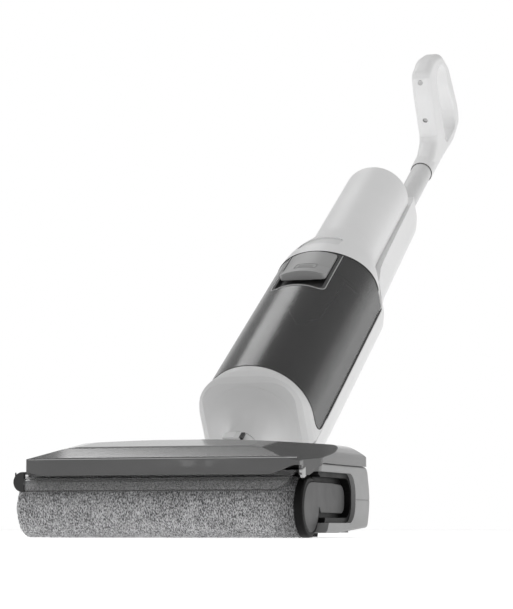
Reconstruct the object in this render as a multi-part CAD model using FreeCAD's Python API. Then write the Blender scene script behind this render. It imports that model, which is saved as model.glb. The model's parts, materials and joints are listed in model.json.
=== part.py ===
import FreeCAD, Part
import math
import os

V = FreeCAD.Vector

# Driving dimensions, in millimetres and degrees.
# Two frames are used. The head frame has the roller's axis over y = 0 and the floor at z = 0.
# The body frame is the upright body standing up: z runs along its axis from the floor,
# and the front faces -y. The body is then leaned back by RECLINE about the point where
# its axis meets the floor. X points to the right of somebody facing the machine.

RECLINE = 58.43          # lean of the upright body from vertical
AXIS_FOOT_Y = 64.73      # where the body's axis meets the floor, head frame
ORIGIN_Y = 518.9         # head frame y of the finished part's origin

HEAD_HALF = 140.6        # half width of the floor head
CORE_LEFT = -133.0       # head base between the side covers
CORE_RIGHT = 127.5       # the deep recess takes more room on the right
HEAD_REAR = 152.0        # back of the head base
BASE_LOW = 4.5           # underside above the floor
SEAM_Z = 64.0            # seam between side covers and top cover
BROW_RISE = 0.14         # how fast the top cover's rounded ends rise towards the back
WALL = 2.4               # moulded wall thickness
GROOVE_TOP = 6.3         # depth reached by the squeegee's groove in the sole
CONTACT_PLACES = (58.0, 74.0)

ROLLER_R = 26.5          # pile radius, and height of the roller's axis
CORE_R = 22.0            # roller tube radius
BAY_R = 29.5             # radius of the roller bay
ROLLER_LEFT = -131.0     # left end of the roller
ROLLER_RIGHT = 125.0     # right end of the spinning part
CAP_RIGHT = 132.4        # outer face of the black end cap
TAB_FACE = 133.0         # outer face of the pull tab

WHEEL_IN = 84.0          # inner and outer faces of the wheels
WHEEL_OUT = 94.0

PIVOT_S = 74.5           # neck tilt pivot, along the body's axis
SWIVEL_S = 121.0         # neck swivel pivot, along the body's axis
PIVOT_Y = AXIS_FOOT_Y + PIVOT_S * math.sin(math.radians(RECLINE))
PIVOT_Z = PIVOT_S * math.cos(math.radians(RECLINE))
PIN_PLAY = 0.05          # radial running clearance of a pin

BELT_Y = 62.0            # brush motor axis, head frame
BELT_Z = 40.0
DRIVE_R = 7.0            # drive pulley radius
MOTOR_PULLEY_R = 4.5

BODY_R = 57.3            # front radius and half width of the lower body
CAP_LOW = 205.0          # flat underside of the body
SHROUD_R = 44.0          # where the neck's fairing meets that face
# Rim of the underside: rise above the face, how far the sides stand in there, and the radius
# of the front corners, which goes from a rounded square to a round front.
RIM = ((0.0, 9.8, 24.0), (3.5, 4.4, 36.0), (9.0, 1.3, 48.0), (15.0, 0.0, 57.0))
TANK_LOW = 223.0         # bottom of the dirty-water tank
TANK_SEAM = 485.5        # top of the tank at its front
SEAM_R = 101.6           # radius of the arched seam over the tank
TANK_BACK = 22.0         # flat back of the tank behind the axis
FLOAT_X = 32.0           # the float's stem inside the tank
FLOAT_Y = -10.0
SPINE_BACK = 61.5        # back face of the rear shell
UPPER_R = 38.1           # upper cylinder radius
UPPER_Y = -6.7           # upper cylinder axis
UPPER_TOP = 748.0
SPINE_TOP = 808.0        # top of the rear shell
SPLIT_Y = 5.0            # side seam of the upper housing
CLEAN_LOW = 263.0        # clean-water tank
CLEAN_TOP = 496.0
CLEAN_HALF = 49.5
FILL_S = 420.0           # filling hole in the clean-water tank

TUBE_R = 12.84           # handle tube
TUBE_Y = 53.8
TUBE_LOW = 705.0
COLLAR_S = 958.0
GRIP_HALF = 12.2         # half thickness of the grip
SLEEVE_R = 14.0          # grip's sleeve round the tube
SLEEVE_TOP = 976.0
BUTTON_PLACES = (1048.0, 1064.0, 1080.0)
BUTTON_BACK = 64.2       # inner face of a key's stem
SCREW_PLACES = (-45.0, 5.0)


# Helpers

def box(x, y, z):
    """A box from three (low, high) pairs."""
    return Part.makeBox(x[1] - x[0], y[1] - y[0], z[1] - z[0], V(x[0], y[0], z[0]))


def rod_x(x, y, z, radius):
    """A cylinder along X between the pair x."""
    return Part.makeCylinder(radius, x[1] - x[0], V(x[0], y, z), V(1, 0, 0))


def rod_y(x, y, z, radius):
    """A cylinder along Y between the pair y."""
    return Part.makeCylinder(radius, y[1] - y[0], V(x, y[0], z), V(0, 1, 0))


def rod_z(x, y, z, radius):
    """A cylinder along Z between the pair z."""
    return Part.makeCylinder(radius, z[1] - z[0], V(x, y, z[0]), V(0, 0, 1))


def join(first, *others):
    """One shape out of several that touch or overlap."""
    return first.fuse(list(others)).removeSplitter()


def mirror_x(shape):
    return shape.mirror(V(0, 0, 0), V(1, 0, 0))


def both_sides(shape):
    """The shape and its mirror image, as separate solids."""
    return Part.makeCompound([shape, mirror_x(shape)])


def rounded_face(corners, to_3d):
    """A face from (a, b, radius) corners, with an arc at each corner that has a radius."""
    count = len(corners)
    runs = []
    for i, (a, b, radius) in enumerate(corners):
        here = V(a, b, 0)
        back = V(*corners[i - 1][:2], 0) - here
        ahead = V(*corners[(i + 1) % count][:2], 0) - here
        back.normalize()
        ahead.normalize()
        half = back.getAngle(ahead) / 2
        reach = radius / math.tan(half)
        middle = back + ahead
        if radius and middle.Length > 1e-6:
            middle.normalize()
            centre = here + middle * (radius / math.sin(half))
            runs.append((here + back * reach, centre - middle * radius, here + ahead * reach))
        else:
            runs.append((here, None, here))
    edges = []
    for i, (start, mid, end) in enumerate(runs):
        if mid is not None:
            edges.append(Part.Arc(to_3d(start), to_3d(mid), to_3d(end)).toShape())
        next_start = runs[(i + 1) % count][0]
        if (next_start - end).Length > 1e-6:
            edges.append(Part.LineSegment(to_3d(end), to_3d(next_start)).toShape())
    return Part.Face(Part.Wire(edges))


def prism_x(corners, x):
    """Corners are (y, z, radius)."""
    face = rounded_face(corners, lambda p: V(x[0], p.x, p.y))
    return face.extrude(V(x[1] - x[0], 0, 0))


def prism_y(corners, y):
    """Corners are (x, z, radius)."""
    face = rounded_face(corners, lambda p: V(p.x, y[0], p.y))
    return face.extrude(V(0, y[1] - y[0], 0))


def prism_z(corners, z):
    """Corners are (x, y, radius)."""
    face = rounded_face(corners, lambda p: V(p.x, p.y, z[0]))
    return face.extrude(V(0, 0, z[1] - z[0]))


def rectangle(half, y, radius, back_radius=None):
    """Corners of a rounded rectangle, symmetric in x."""
    rear = radius if back_radius is None else back_radius
    return [(-half, y[0], radius), (half, y[0], radius), (half, y[1], rear), (-half, y[1], rear)]


def loft_z(sections):
    """A solid through (height, corners) sections."""
    wires = [rounded_face(corners, lambda p, h=h: V(p.x, p.y, h)).OuterWire for h, corners in sections]
    return Part.makeLoft(wires, True, True)


def d_prism(radius, back, z, corner=0.01):
    """A round front about the z axis with straight sides back to y = back."""
    front = rod_z(0, 0, z, radius)
    rear = prism_z(rectangle(radius, (0, back), 0.01, corner), z)
    return join(front, rear)


# Floor head

def head_outline(inset, z):
    left = CORE_LEFT + inset
    right = CORE_RIGHT - inset
    front = 28.0 + inset
    back = HEAD_REAR - inset
    corner = 24.0 - inset
    return prism_z([(left, front, 2.0), (right, front, 2.0), (right, back, corner), (left, back, corner)], z)


def wheel_well(side, inset, z):
    x = sorted((side * (WHEEL_IN - 4.0 + inset), side * (WHEEL_OUT + 4.0 - inset)))
    return box(x, (110.0 + inset, 149.0 - inset), z)


def head_base():
    shell = head_outline(0, (BASE_LOW, 60.0)).cut(head_outline(WALL, (8.0, 61.0)))
    bay_hood = rod_x((CORE_LEFT, CORE_RIGHT), 0, ROLLER_R, BAY_R + WALL)
    bay_hood = bay_hood.common(box((CORE_LEFT, CORE_RIGHT), (-3.0, 40.0), (BASE_LOW, 70.0)))
    neck_walls = box((-40.0, 40.0), (94.0, HEAD_REAR), (BASE_LOW, 60.0))
    base = join(shell, bay_hood, neck_walls)
    for side in (-1, 1):
        base = base.fuse(wheel_well(side, 0, (BASE_LOW, 32.0)))
    base = base.cut(box((-37.5, 37.5), (96.5, 170.0), (8.0, 70.0)))
    for side in (-1, 1):
        base = base.cut(wheel_well(side, 2.0, (0, 30.0)))
        boss = rod_x(sorted((side * 31.0, side * 38.0)), PIVOT_Y, PIVOT_Z, 12.0)
        base = base.fuse(boss)
    base = base.cut(rod_x((-150.0, 150.0), 0, ROLLER_R, BAY_R))
    base = base.cut(rod_x((-41.0, 41.0), PIVOT_Y, PIVOT_Z, 5.0 + PIN_PLAY))
    base = base.cut(box((-30.0, 30.0), (20.0, 34.0), (20.0, 34.0)))
    base = base.cut(box((-15.0, 15.0), (93.0, 97.0), (20.0, 50.0)))
    base = base.cut(rod_x((-140.0, -120.0), BELT_Y, BELT_Z, 3.5))
    for side in (-1, 1):
        x = sorted((side * (WHEEL_IN - 5.0), side * (WHEEL_OUT + 5.0)))
        base = base.cut(rod_x(x, 131.0, 14.0, 2.0))
    for x in CONTACT_PLACES:
        base = base.cut(rod_y(x, (HEAD_REAR - 1.0, HEAD_REAR + 1.0), 30.0, 4.05))
    base = base.cut(box((-126.2, 126.2), (37.8, 42.2), (0.0, GROOVE_TOP)))
    return base.removeSplitter()


RECESS = [(-40.0, 13.0, 0), (110.0, 13.0, 19.0), (110.0, 57.0, 19.0), (-40.0, 57.0, 0)]


def side_profile(front_top):
    """Side view of a side cover: flat top, bulged back, underside lower towards the front."""
    return [(front_top, SEAM_Z, 1.0), (150.0, SEAM_Z, 8.0), (161.0, 34.0, 40.0),
            (151.0, 9.0, 6.0), (60.0, 4.2, 20.0), (20.0, 4.2, 1.0), (20.0, 40.0, 4.0), (front_top, 56.0, 2.0)]


def side_cover_right():
    cover = prism_x(side_profile(3.0), (CORE_RIGHT + 0.2, HEAD_HALF))
    outer_edges = [e for e in cover.Edges if e.BoundBox.XMin > HEAD_HALF - 0.01]
    cover = cover.makeFillet(2.5, outer_edges)
    cover = cover.cut(prism_x(RECESS, (CORE_RIGHT, HEAD_HALF + 1.0)))
    cover = cover.cut(rod_x((CORE_RIGHT, HEAD_HALF + 1.0), 0, ROLLER_R, BAY_R))
    under_lip = prism_x([(-20.0, 50.4, 0), (9.6, SEAM_Z, 0), (-20.0, 70.0, 0)], (CORE_RIGHT, HEAD_HALF + 1.0))
    cover = cover.cut(under_lip)
    groove = box((HEAD_HALF - 0.7, HEAD_HALF + 1.0), (112.0, 170.0), (33.6, 34.4))
    return cover.cut(groove)


def end_recess_liner():
    x = (CORE_RIGHT + 0.2, CORE_RIGHT + 1.7)
    inner = [(-40.0, 17.5, 0), (106.0, 17.5, 15.0), (106.0, 52.5, 15.0), (-40.0, 52.5, 0)]
    floor = prism_x(RECESS, x)
    step = prism_x(RECESS, (x[0], HEAD_HALF - 4.0)).cut(prism_x(inner, (x[0], HEAD_HALF)))
    liner = join(floor, step).common(box((100.0, 150.0), (8.0, 120.0), (13.0, 60.0)))
    return liner.cut(rod_x((x[0] - 1, HEAD_HALF), 0, ROLLER_R, BAY_R))


def belt_case(x, shrink):
    """The nose from the roller's axis back to the brush motor's pulley."""
    front = rod_x(x, 0, ROLLER_R, 9.8 - shrink)
    back = rod_x(x, BELT_Y, BELT_Z, 9.8 - shrink)
    lean = math.atan2(BELT_Z - ROLLER_R, BELT_Y)
    run = math.hypot(BELT_Z - ROLLER_R, BELT_Y)
    radius = 9.8 - shrink
    bar = box(x, (0, run), (-radius, radius))
    bar.rotate(V(0, 0, 0), V(1, 0, 0), math.degrees(lean))
    bar.translate(V(0, 0, ROLLER_R))
    return join(front, bar, back)


def side_cover_left():
    cover = prism_x(side_profile(30.0), (-HEAD_HALF, CORE_LEFT - 0.2))
    outer_edges = [e for e in cover.Edges if e.BoundBox.XMax < -HEAD_HALF + 0.01]
    cover = cover.makeFillet(2.5, outer_edges)
    nose = belt_case((-137.6, -131.8), 0)
    nose = nose.cut(box((-140.0, -131.0), (26.0, 80.0), (0.0, 80.0)))
    nose = nose.fuse(belt_case((-137.6, CORE_LEFT - 0.2), 0))
    cover = cover.fuse(nose)
    cover = cover.cut(belt_case((-136.6, -133.1), 1.0))
    behind = box((-140.0, -130.0), (26.0, 90.0), (0.0, 80.0))
    cover = cover.cut(belt_case((-136.6, CORE_LEFT), 1.0).common(behind))
    cover = cover.cut(rod_x((-134.0, -131.0), 0, ROLLER_R, 3.5 + PIN_PLAY))
    groove = box((-HEAD_HALF - 1.0, -HEAD_HALF + 0.7), (112.0, 170.0), (33.6, 34.4))
    return cover.cut(groove).removeSplitter()


def inner_deck():
    plate = head_outline(WALL + 0.3, (60.0, 62.2))
    plate = plate.cut(box((-40.5, 40.5), (93.5, 170.0), (50.0, 70.0)))
    front = box((-128.0, 124.0), (8.0, 31.0), (60.0, 62.2))
    plate = join(plate, front)
    for side in (-1, 1):
        x = sorted((side * 52.0, side * 122.0))
        hump = box(x, (44.0, 112.0), (62.0, 74.0))
        hump = hump.makeFillet(5.0, [e for e in hump.Edges if e.BoundBox.ZMax > 73.0])
        plate = plate.fuse(hump)
    return plate.removeSplitter()


def top_cover_solid(inset):
    """The rounded lid's outer or, with an inset, inner volume: side, front and plan views together."""
    i = inset
    side = [(-33.5 + i, 40.0, 0), (-34.0 + i, 69.0 - i / 2, 2.0), (-8.0, 79.5 - i, 30.0), (45.0, 87.6 - i, 90.0),
            (112.0, 86.0 - i, 60.0), (159.0 - i, 68.0 - i, 6.0), (160.0 - i, 40.0, 0)]
    front = [(-HEAD_HALF + i, 40.0, 0), (HEAD_HALF - i, 40.0, 0), (HEAD_HALF - i, 74.0 - i, 5.0),
             (132.0 - i, 82.5 - i, 18.0), (0.0, 88.5 - i, 900.0), (-132.0 + i, 82.5 - i, 18.0),
             (-HEAD_HALF + i, 74.0 - i, 5.0)]
    plan = [(-118.0 + i, -60.0, 0), (133.0 - i, -60.0, 0), (133.0 - i, -24.0, 4.0), (HEAD_HALF - i, 6.0, 20.0),
            (HEAD_HALF - i, 160.0 - i, 16.0), (-HEAD_HALF + i, 160.0 - i, 16.0), (-HEAD_HALF + i, 40.0, 20.0),
            (-118.0 + i, -20.0, 8.0)]
    brow = [(-145.0, 30.0, 0), (145.0, 30.0, 0), (145.0, 61.0 - i, 0), (92.0, 74.0 - i, 60.0), (0.0, 83.0 - i, 300.0),
            (-92.0, 74.0 - i, 60.0), (-145.0, 61.0 - i, 0)]
    brow_face = rounded_face(brow, lambda p: V(p.x, -40.0, p.y))
    volume = prism_x(side, (-150.0, 150.0))
    volume = volume.common(prism_y(front, (-60.0, 170.0)))
    volume = volume.common(brow_face.extrude(V(0, 220.0, 220.0 * BROW_RISE)))
    return volume.common(prism_z(plan, (30.0, 100.0)))


def below_cover():
    """Everything under the lid's lower edge."""
    edge = [(-60.0, 20.0, 0), (170.0, 20.0, 0), (170.0, SEAM_Z + 0.2, 0), (9.5, SEAM_Z + 0.2, 3.0),
            (-14.0, 53.4, 6.0), (-60.0, 53.4, 0)]
    return prism_x(edge, (-160.0, 160.0))


def top_cover():
    lid = top_cover_solid(0).cut(top_cover_solid(WALL))
    lid = lid.cut(below_cover())
    hem = [(-140.0, 30.0, 0), (140.0, 30.0, 0), (140.0, 61.5, 0), (127.0, 61.5, 8.0), (108.0, 54.0, 14.0),
           (-106.0, 54.0, 14.0), (-122.0, 58.5, 6.0), (-140.0, 58.5, 0)]
    lid = lid.cut(prism_y(hem, (-60.0, -28.5)))
    neck_gap = prism_z(rectangle(43.0, (92.0, 200.0), 14.0, 0.5), (50.0, 100.0))
    lid = lid.cut(neck_gap)
    return lid.cut(box((-9.2, 9.2), (66.8, 85.2), (80.0, 95.0)))


def splash_guard():
    outer = [(-30.8, 57.4, 0), (-30.8, 53.3, 0.8), (-33.2, 51.4, 1.0), (-33.2, 47.0, 10.0), (-31.4, 40.0, 0),
             (-29.6, 40.4, 0), (-31.2, 47.0, 9.0), (-31.2, 50.2, 1.0), (-28.8, 52.2, 1.0), (-28.8, 57.4, 0)]
    bar = prism_x(outer, (-131.0, 129.0))
    face = [(-130.5, 40.0, 8.6), (119.0, 40.0, 22.0), (128.0, 56.5, 0), (128.0, 57.4, 0), (-130.5, 57.4, 8.6)]
    return bar.common(prism_y(face, (-40.0, -20.0)))


def cover_latch():
    body = box((-8.9, 8.9), (67.1, 84.9), (76.0, 88.2))
    return body.makeFillet(2.0, [e for e in body.Edges if e.BoundBox.ZMax > 88.0])


def suction_duct():
    outer = join(box((-28.0, 28.0), (31.2, 60.0), (18.0, 38.0)), box((-17.0, 17.0), (58.0, 93.8), (18.0, 47.0)))
    inner = join(box((-26.0, 26.0), (30.0, 58.0), (20.0, 36.0)), box((-15.0, 15.0), (57.0, 95.0), (20.0, 36.0)))
    inner = join(inner, box((-15.0, 15.0), (62.0, 95.0), (20.0, 45.0)))
    return outer.cut(inner).cut(rod_x((-60.0, 60.0), 0, ROLLER_R, BAY_R + WALL))


def scraper_blade():
    ring = rod_x((-128.0, 128.0), 0, ROLLER_R, BAY_R).cut(rod_x((-129.0, 129.0), 0, ROLLER_R, ROLLER_R + 0.4))
    return ring.common(box((-128.0, 128.0), (20.0, 40.0), (11.0, 15.0)))


def spray_bar():
    bar = rod_x((-120.0, 120.0), 24.5, 54.0, 3.2)
    bar = bar.cut(rod_x((-118.0, 118.0), 24.5, 54.0, 2.2))
    hood = rod_x((-130.0, 130.0), 0, ROLLER_R, BAY_R + WALL)
    feet = [box((x - 3.0, x + 3.0), (21.0, 27.0), (44.0, 52.0)) for x in (-100.0, -50.0, 0.0, 50.0, 100.0)]
    return join(bar, *feet).cut(hood)


def brush_motor():
    can = rod_x((-128.0, -74.0), BELT_Y, BELT_Z, 15.0)
    can = can.makeFillet(2.0, [e for e in can.Edges if e.Closed])
    can = can.fuse(rod_x((-74.0, -69.0), BELT_Y, BELT_Z, 5.0))
    foot = box((-120.0, -82.0), (50.0, 74.0), (8.0, 30.0))
    return join(can, foot).cut(rod_x((-129.0, -112.0), BELT_Y, BELT_Z, 2.5 + PIN_PLAY))


def motor_pulley():
    pulley = rod_x((-136.2, -133.5), BELT_Y, BELT_Z, MOTOR_PULLEY_R)
    return join(pulley, rod_x((-133.6, -113.0), BELT_Y, BELT_Z, 2.5))


def belt_loop(extra, x):
    """The volume inside a belt that wraps both pulleys."""
    front_r = DRIVE_R + extra
    back_r = MOTOR_PULLEY_R + extra
    run = math.hypot(BELT_Z - ROLLER_R, BELT_Y)
    tilt = math.asin((front_r - back_r) / run)
    ends = []
    for centre, radius in ((0.0, front_r), (run, back_r)):
        ends.append((centre + radius * math.sin(tilt), radius * math.cos(tilt)))
    corners = [(ends[0][0], -ends[0][1], 0), (ends[1][0], -ends[1][1], 0),
               (ends[1][0], ends[1][1], 0), (ends[0][0], ends[0][1], 0)]
    bar = prism_x(corners, x)
    bar.rotate(V(0, 0, 0), V(1, 0, 0), math.degrees(math.atan2(BELT_Z - ROLLER_R, BELT_Y)))
    bar.translate(V(0, 0, ROLLER_R))
    return join(bar, rod_x(x, 0, ROLLER_R, front_r), rod_x(x, BELT_Y, BELT_Z, back_r))


def drive_belt():
    return belt_loop(1.3, (-135.8, -133.8)).cut(belt_loop(0.35, (-137.0, -132.0)))


def hexagon_x(x, across, y, z):
    radius = across / math.sqrt(3)
    corners = []
    for i in range(6):
        turn = math.radians(60 * i)
        corners.append((y + radius * math.cos(turn), z + radius * math.sin(turn), 0))
    return prism_x(corners, x)


def drive_pulley():
    pulley = rod_x((-136.2, -133.5), 0, ROLLER_R, DRIVE_R)
    shaft = rod_x((-133.6, -131.2), 0, ROLLER_R, 3.5)
    return join(pulley, shaft, hexagon_x((-131.3, -118.0), 6.0, 0, ROLLER_R))


def roller_core():
    tube = rod_x((-130.4, ROLLER_RIGHT), 0, ROLLER_R, CORE_R)
    return tube.cut(rod_x((-140.0, 140.0), 0, ROLLER_R, CORE_R - 2.5))


def roller_pile():
    pile = rod_x((ROLLER_LEFT, ROLLER_RIGHT - 0.2), 0, ROLLER_R, ROLLER_R)
    ends = [e for e in pile.Edges if e.Closed and e.BoundBox.XMax < 0]
    pile = pile.makeFillet(3.0, ends)
    return pile.cut(rod_x((-140.0, 140.0), 0, ROLLER_R, CORE_R))


def drive_socket():
    plug = rod_x((-130.4, -114.0), 0, ROLLER_R, CORE_R - 2.5)
    return plug.cut(hexagon_x((-131.0, -117.0), 7.0, 0, ROLLER_R))


def roller_bearing():
    ring = rod_x((113.0, ROLLER_RIGHT), 0, ROLLER_R, CORE_R - 2.5)
    return ring.cut(rod_x((112.0, 126.0), 0, ROLLER_R, 6.0 + PIN_PLAY))


def tab_profile(grow):
    """Side view of the tab, with the notch below it beside the disc."""
    low = 21.4 - grow
    return [(2.0, 26.0 - grow, 0), (24.0, 26.0 - grow, 0), (28.0, low, 1.0), (100.0 + grow, low, 10.0),
            (100.0 + grow, 46.4 + grow, 12.0), (60.0, 48.2 + grow, 0), (2.0, 48.2 + grow, 0)]


def end_cap():
    disc = rod_x((ROLLER_RIGHT + 0.5, CAP_RIGHT), 0, ROLLER_R, ROLLER_R - 0.3)
    disc = disc.makeFillet(2.4, [e for e in disc.Edges if e.Closed and e.BoundBox.XMin > 130.0])
    disc = disc.cut(rod_x((128.2, 142.0), 0, ROLLER_R, 21.9))
    disc = disc.cut(prism_x(tab_profile(0.4), (129.5, 142.0)))
    return join(disc, rod_x((113.5, 126.0), 0, ROLLER_R, 6.0))


def pull_tab():
    """Disc in the end cap's face that runs on into a tab lying in the side recess."""
    disc = rod_x((128.2, TAB_FACE), 0, ROLLER_R, 21.6)
    handle = join(disc, prism_x(tab_profile(0.0), (129.9, TAB_FACE)))
    return handle.makeChamfer(0.6, [e for e in handle.Edges if e.BoundBox.XMin > TAB_FACE - 0.1])


def wheel(side):
    """A hub with a soft tyre pressed over it."""
    x = sorted((side * WHEEL_IN, side * WHEEL_OUT))
    hub = rod_x(x, 131.0, 14.0, 10.5).cut(rod_x((-150.0, 150.0), 131.0, 14.0, 2.0 + PIN_PLAY))
    tyre = rod_x(x, 131.0, 14.0, 14.0)
    tyre = tyre.makeFillet(1.5, [e for e in tyre.Edges if e.Closed])
    return Part.makeCompound([hub, tyre.cut(rod_x((-150.0, 150.0), 131.0, 14.0, 10.5))])


def wheel_axles():
    return both_sides(rod_x((WHEEL_IN - 3.8, WHEEL_OUT + 3.8), 131.0, 14.0, 2.0))


def squeegee_strip():
    side = [(38.0, GROOVE_TOP, 0), (38.0, 1.4, 0), (40.5, 0.9, 0), (42.0, 4.5, 0), (42.0, GROOVE_TOP, 0)]
    return prism_x(side, (-126.0, 126.0))


def charging_contacts():
    pads = [rod_y(x, (HEAD_REAR - 1.0, HEAD_REAR + 1.4), 30.0, 4.0) for x in CONTACT_PLACES]
    return Part.makeCompound(pads)


# Neck, in the body frame

def neck_yoke():
    ring_face = rectangle(29.5, (-23.0, 23.0), 16.0)
    ring = prism_z(ring_face, (114.0, 128.0)).cut(prism_z(rectangle(24.2, (-17.2, 17.2), 12.0), (113.0, 129.0)))
    yoke = ring
    for side in (-1, 1):
        x = sorted((side * 24.2, side * 29.5))
        arm = prism_x([(-13.0, 60.0, 0), (13.0, 60.0, 0), (13.0, 120.0, 0), (-13.0, 120.0, 0)], x)
        arm = arm.cut(box(x, (-14.0, 14.0), (50.0, PIVOT_S)))
        arm = join(arm, rod_x(x, 0, PIVOT_S, 13.0))
        yoke = yoke.fuse(arm)
    yoke = yoke.cut(rod_x((-30.0, 30.0), 0, PIVOT_S, 5.0))
    yoke = yoke.cut(rod_y(0, (-30.0, 30.0), SWIVEL_S, 3.5))
    return yoke.removeSplitter()


def neck_pins():
    """Tilt pins on each side and swivel pins at front and back."""
    front = rod_y(0, (-23.0, -13.8), SWIVEL_S, 3.5)
    back = rod_y(0, (13.8, 23.0), SWIVEL_S, 3.5)
    right = rod_x((24.2, 37.5), 0, PIVOT_S, 5.0)
    return Part.makeCompound([front, back, right, mirror_x(right)])


def neck_tube():
    tube = join(rod_z(0, 0, (109.0, CAP_LOW + 3.0), 16.2), rod_z(0, 0, (CAP_LOW, CAP_LOW + 3.0), 19.8))
    tube = tube.cut(rod_z(0, 0, (108.0, CAP_LOW + 4.0), 13.6))
    tube = tube.cut(rod_y(0, (-30.0, 30.0), SWIVEL_S, 3.5 + PIN_PLAY))
    clip = box((-10.0, 6.0), (-18.4, -15.0), (148.0, 162.0))
    clip = clip.makeFillet(1.5, [e for e in clip.Edges if e.BoundBox.YMax < -18.3])
    return join(tube, clip.cut(rod_z(0, 0, (140.0, 170.0), 15.0)))


def suction_hose():
    """Corrugated hose from the head's duct, bending into the neck."""
    bend = 45.0
    turn = math.radians(90.0 - RECLINE)
    reach = bend * math.tan(turn / 2)
    start = V(0, 84.0, PIVOT_Z - 6.0)
    pivot_dir = V(0, math.sin(math.radians(RECLINE)), math.cos(math.radians(RECLINE)))
    knee = V(0, AXIS_FOOT_Y, 0) + pivot_dir * ((PIVOT_Z - 6.0) / pivot_dir.z)
    enter = knee - V(0, reach, 0)
    leave = knee + pivot_dir * reach
    end = V(0, AXIS_FOOT_Y, 0) + pivot_dir * 150.0
    middle = enter + (leave - enter) * 0.5 - V(0, -math.sin(turn / 2), math.cos(turn / 2)) * (bend * (1 - math.cos(turn / 2)))
    path = Part.Wire([Part.LineSegment(start, enter).toShape(), Part.Arc(enter, middle, leave).toShape(),
                      Part.LineSegment(leave, end).toShape()])
    wall = path.makePipeShell([Part.Wire(Part.makeCircle(11.5, start, V(0, 1, 0)))], True, False)
    bore = path.makePipeShell([Part.Wire(Part.makeCircle(9.5, start, V(0, 1, 0)))], True, False)
    return wall.cut(bore)


# Upright body, in the body frame

def neck_shroud():
    """Fairing where the neck runs into the cap."""
    profile = [(16.2, 164.0, 0), (17.2, 164.0, 0), (18.6, 202.5, 25.0), (SHROUD_R, CAP_LOW - 0.3, 0),
               (SHROUD_R, CAP_LOW, 0), (20.0, CAP_LOW, 0), (20.0, CAP_LOW - 0.2, 0), (16.2, CAP_LOW - 0.2, 0)]
    face = rounded_face(profile, lambda p: V(p.x, 0, p.y))
    return face.revolve(V(0, 0, 0), V(0, 0, 1), 360)


def rounded_cup(inset, high):
    """A cup with the body's rim: a rounded square at its foot that swells to a D-shaped top."""
    sections = []
    for rise, side, radius in RIM:
        half = BODY_R - side - inset
        sections.append((CAP_LOW + rise, rectangle(half, (-half, 24.4 - inset), radius - inset, 0.6)))
    sections.append((high, sections[-1][1]))
    return loft_z(sections)


def lower_cap():
    """Cup under the tank: swelling rim, flat face, a lip that fills the tank's rounded lower corner."""
    room = rounded_cup(WALL, 260.0).common(box((-90.0, 90.0), (-90.0, 90.0), (CAP_LOW + WALL, TANK_LOW - WALL)))
    outer = rounded_cup(0, 260.0).cut(room)
    tank_room = [(-90.0, TANK_LOW - 0.4, 0), (TANK_BACK + 0.3, TANK_LOW - 0.4, 19.0), (TANK_BACK + 0.3, 270.0, 0),
                 (-90.0, 270.0, 0)]
    outer = outer.cut(prism_x(tank_room, (-90.0, 90.0)))
    return outer.cut(rod_z(0, 0, (CAP_LOW - 1.0, CAP_LOW + 5.0), 20.0))


def dirty_tank_volume(inset, low):
    """The tank's volume above low: round front, flat back, rounded lower rear edge, arched top seam."""
    back = TANK_BACK - inset
    tank = d_prism(BODY_R - inset, back, (low, 520.0), 3.0)
    side = [(-90.0, low, 0), (back, low, 19.0), (back, 520.0, 0), (-90.0, 520.0, 0)]
    tank = tank.common(prism_x(side, (-90.0, 90.0)))
    return tank.cut(rod_y(0, (-80.0, 80.0), TANK_SEAM + SEAM_R, SEAM_R))


def latch_window(grow, y):
    half = 29.0 + grow
    return prism_y([(-half, 403.0 - grow, 7.0), (half, 403.0 - grow, 7.0), (half, 520.0, 0), (-half, 520.0, 0)], y)


def dirty_tank():
    tank = dirty_tank_volume(0, TANK_LOW).cut(dirty_tank_volume(WALL, TANK_LOW + WALL))
    return tank.cut(latch_window(0, (-70.0, -20.0)))


def latch_bezel():
    block = d_prism(BODY_R - 0.2, 0.5, (400.0, 500.0)).common(latch_window(-0.2, (-70.0, -44.0)))
    pocket = prism_y([(-26.0, 406.0, 5.0), (26.0, 406.0, 5.0), (26.0, 483.6, 2.0), (-26.0, 483.6, 2.0)], (-80.0, -46.0))
    block = block.cut(pocket)
    return block.cut(rod_y(0, (-80.0, 80.0), TANK_SEAM + SEAM_R, SEAM_R))


def tank_latch():
    face = prism_y([(-25.0, 428.0, 4.0), (25.0, 428.0, 4.0), (25.0, 482.5, 2.0), (-25.0, 482.5, 2.0)], (-75.0, -51.0))
    front = rod_z(0, 0, (420.0, 500.0), BODY_R + 1.2)
    lip = Part.makeCone(BODY_R + 4.6, BODY_R + 1.0, 24.0, V(0, 0, 427.0), V(0, 0, 1))
    return face.common(join(front, lip))


def latch_spring():
    """Bent leaf between the bezel's pocket and the back of the latch."""
    side = [(-46.1, 438.0, 0), (-46.1, 444.0, 0), (-50.3, 455.0, 0), (-46.1, 466.0, 0), (-46.1, 472.0, 0),
            (-46.6, 472.0, 0), (-46.6, 466.2, 0), (-50.9, 455.0, 0), (-46.6, 443.8, 0), (-46.6, 438.0, 0)]
    return prism_x(side, (-6.0, 6.0))


def tank_lid():
    plug = dirty_tank_volume(WALL + 0.3, 448.0)
    plug = plug.common(box((-60.0, 60.0), (-60.0, 30.0), (452.0, 520.0)))
    plug = plug.cut(dirty_tank_volume(WALL + 3.0, 440.0).common(box((-60.0, 60.0), (-60.0, 30.0), (440.0, 470.0))))
    plug = plug.cut(box((-30.0, 30.0), (-70.0, -43.5), (440.0, 520.0)))
    float_stem = rod_z(FLOAT_X, FLOAT_Y, (396.0, 472.0), 2.2)
    return join(plug, float_stem, rod_z(FLOAT_X, FLOAT_Y, (396.0, 398.5), 5.0))


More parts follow.
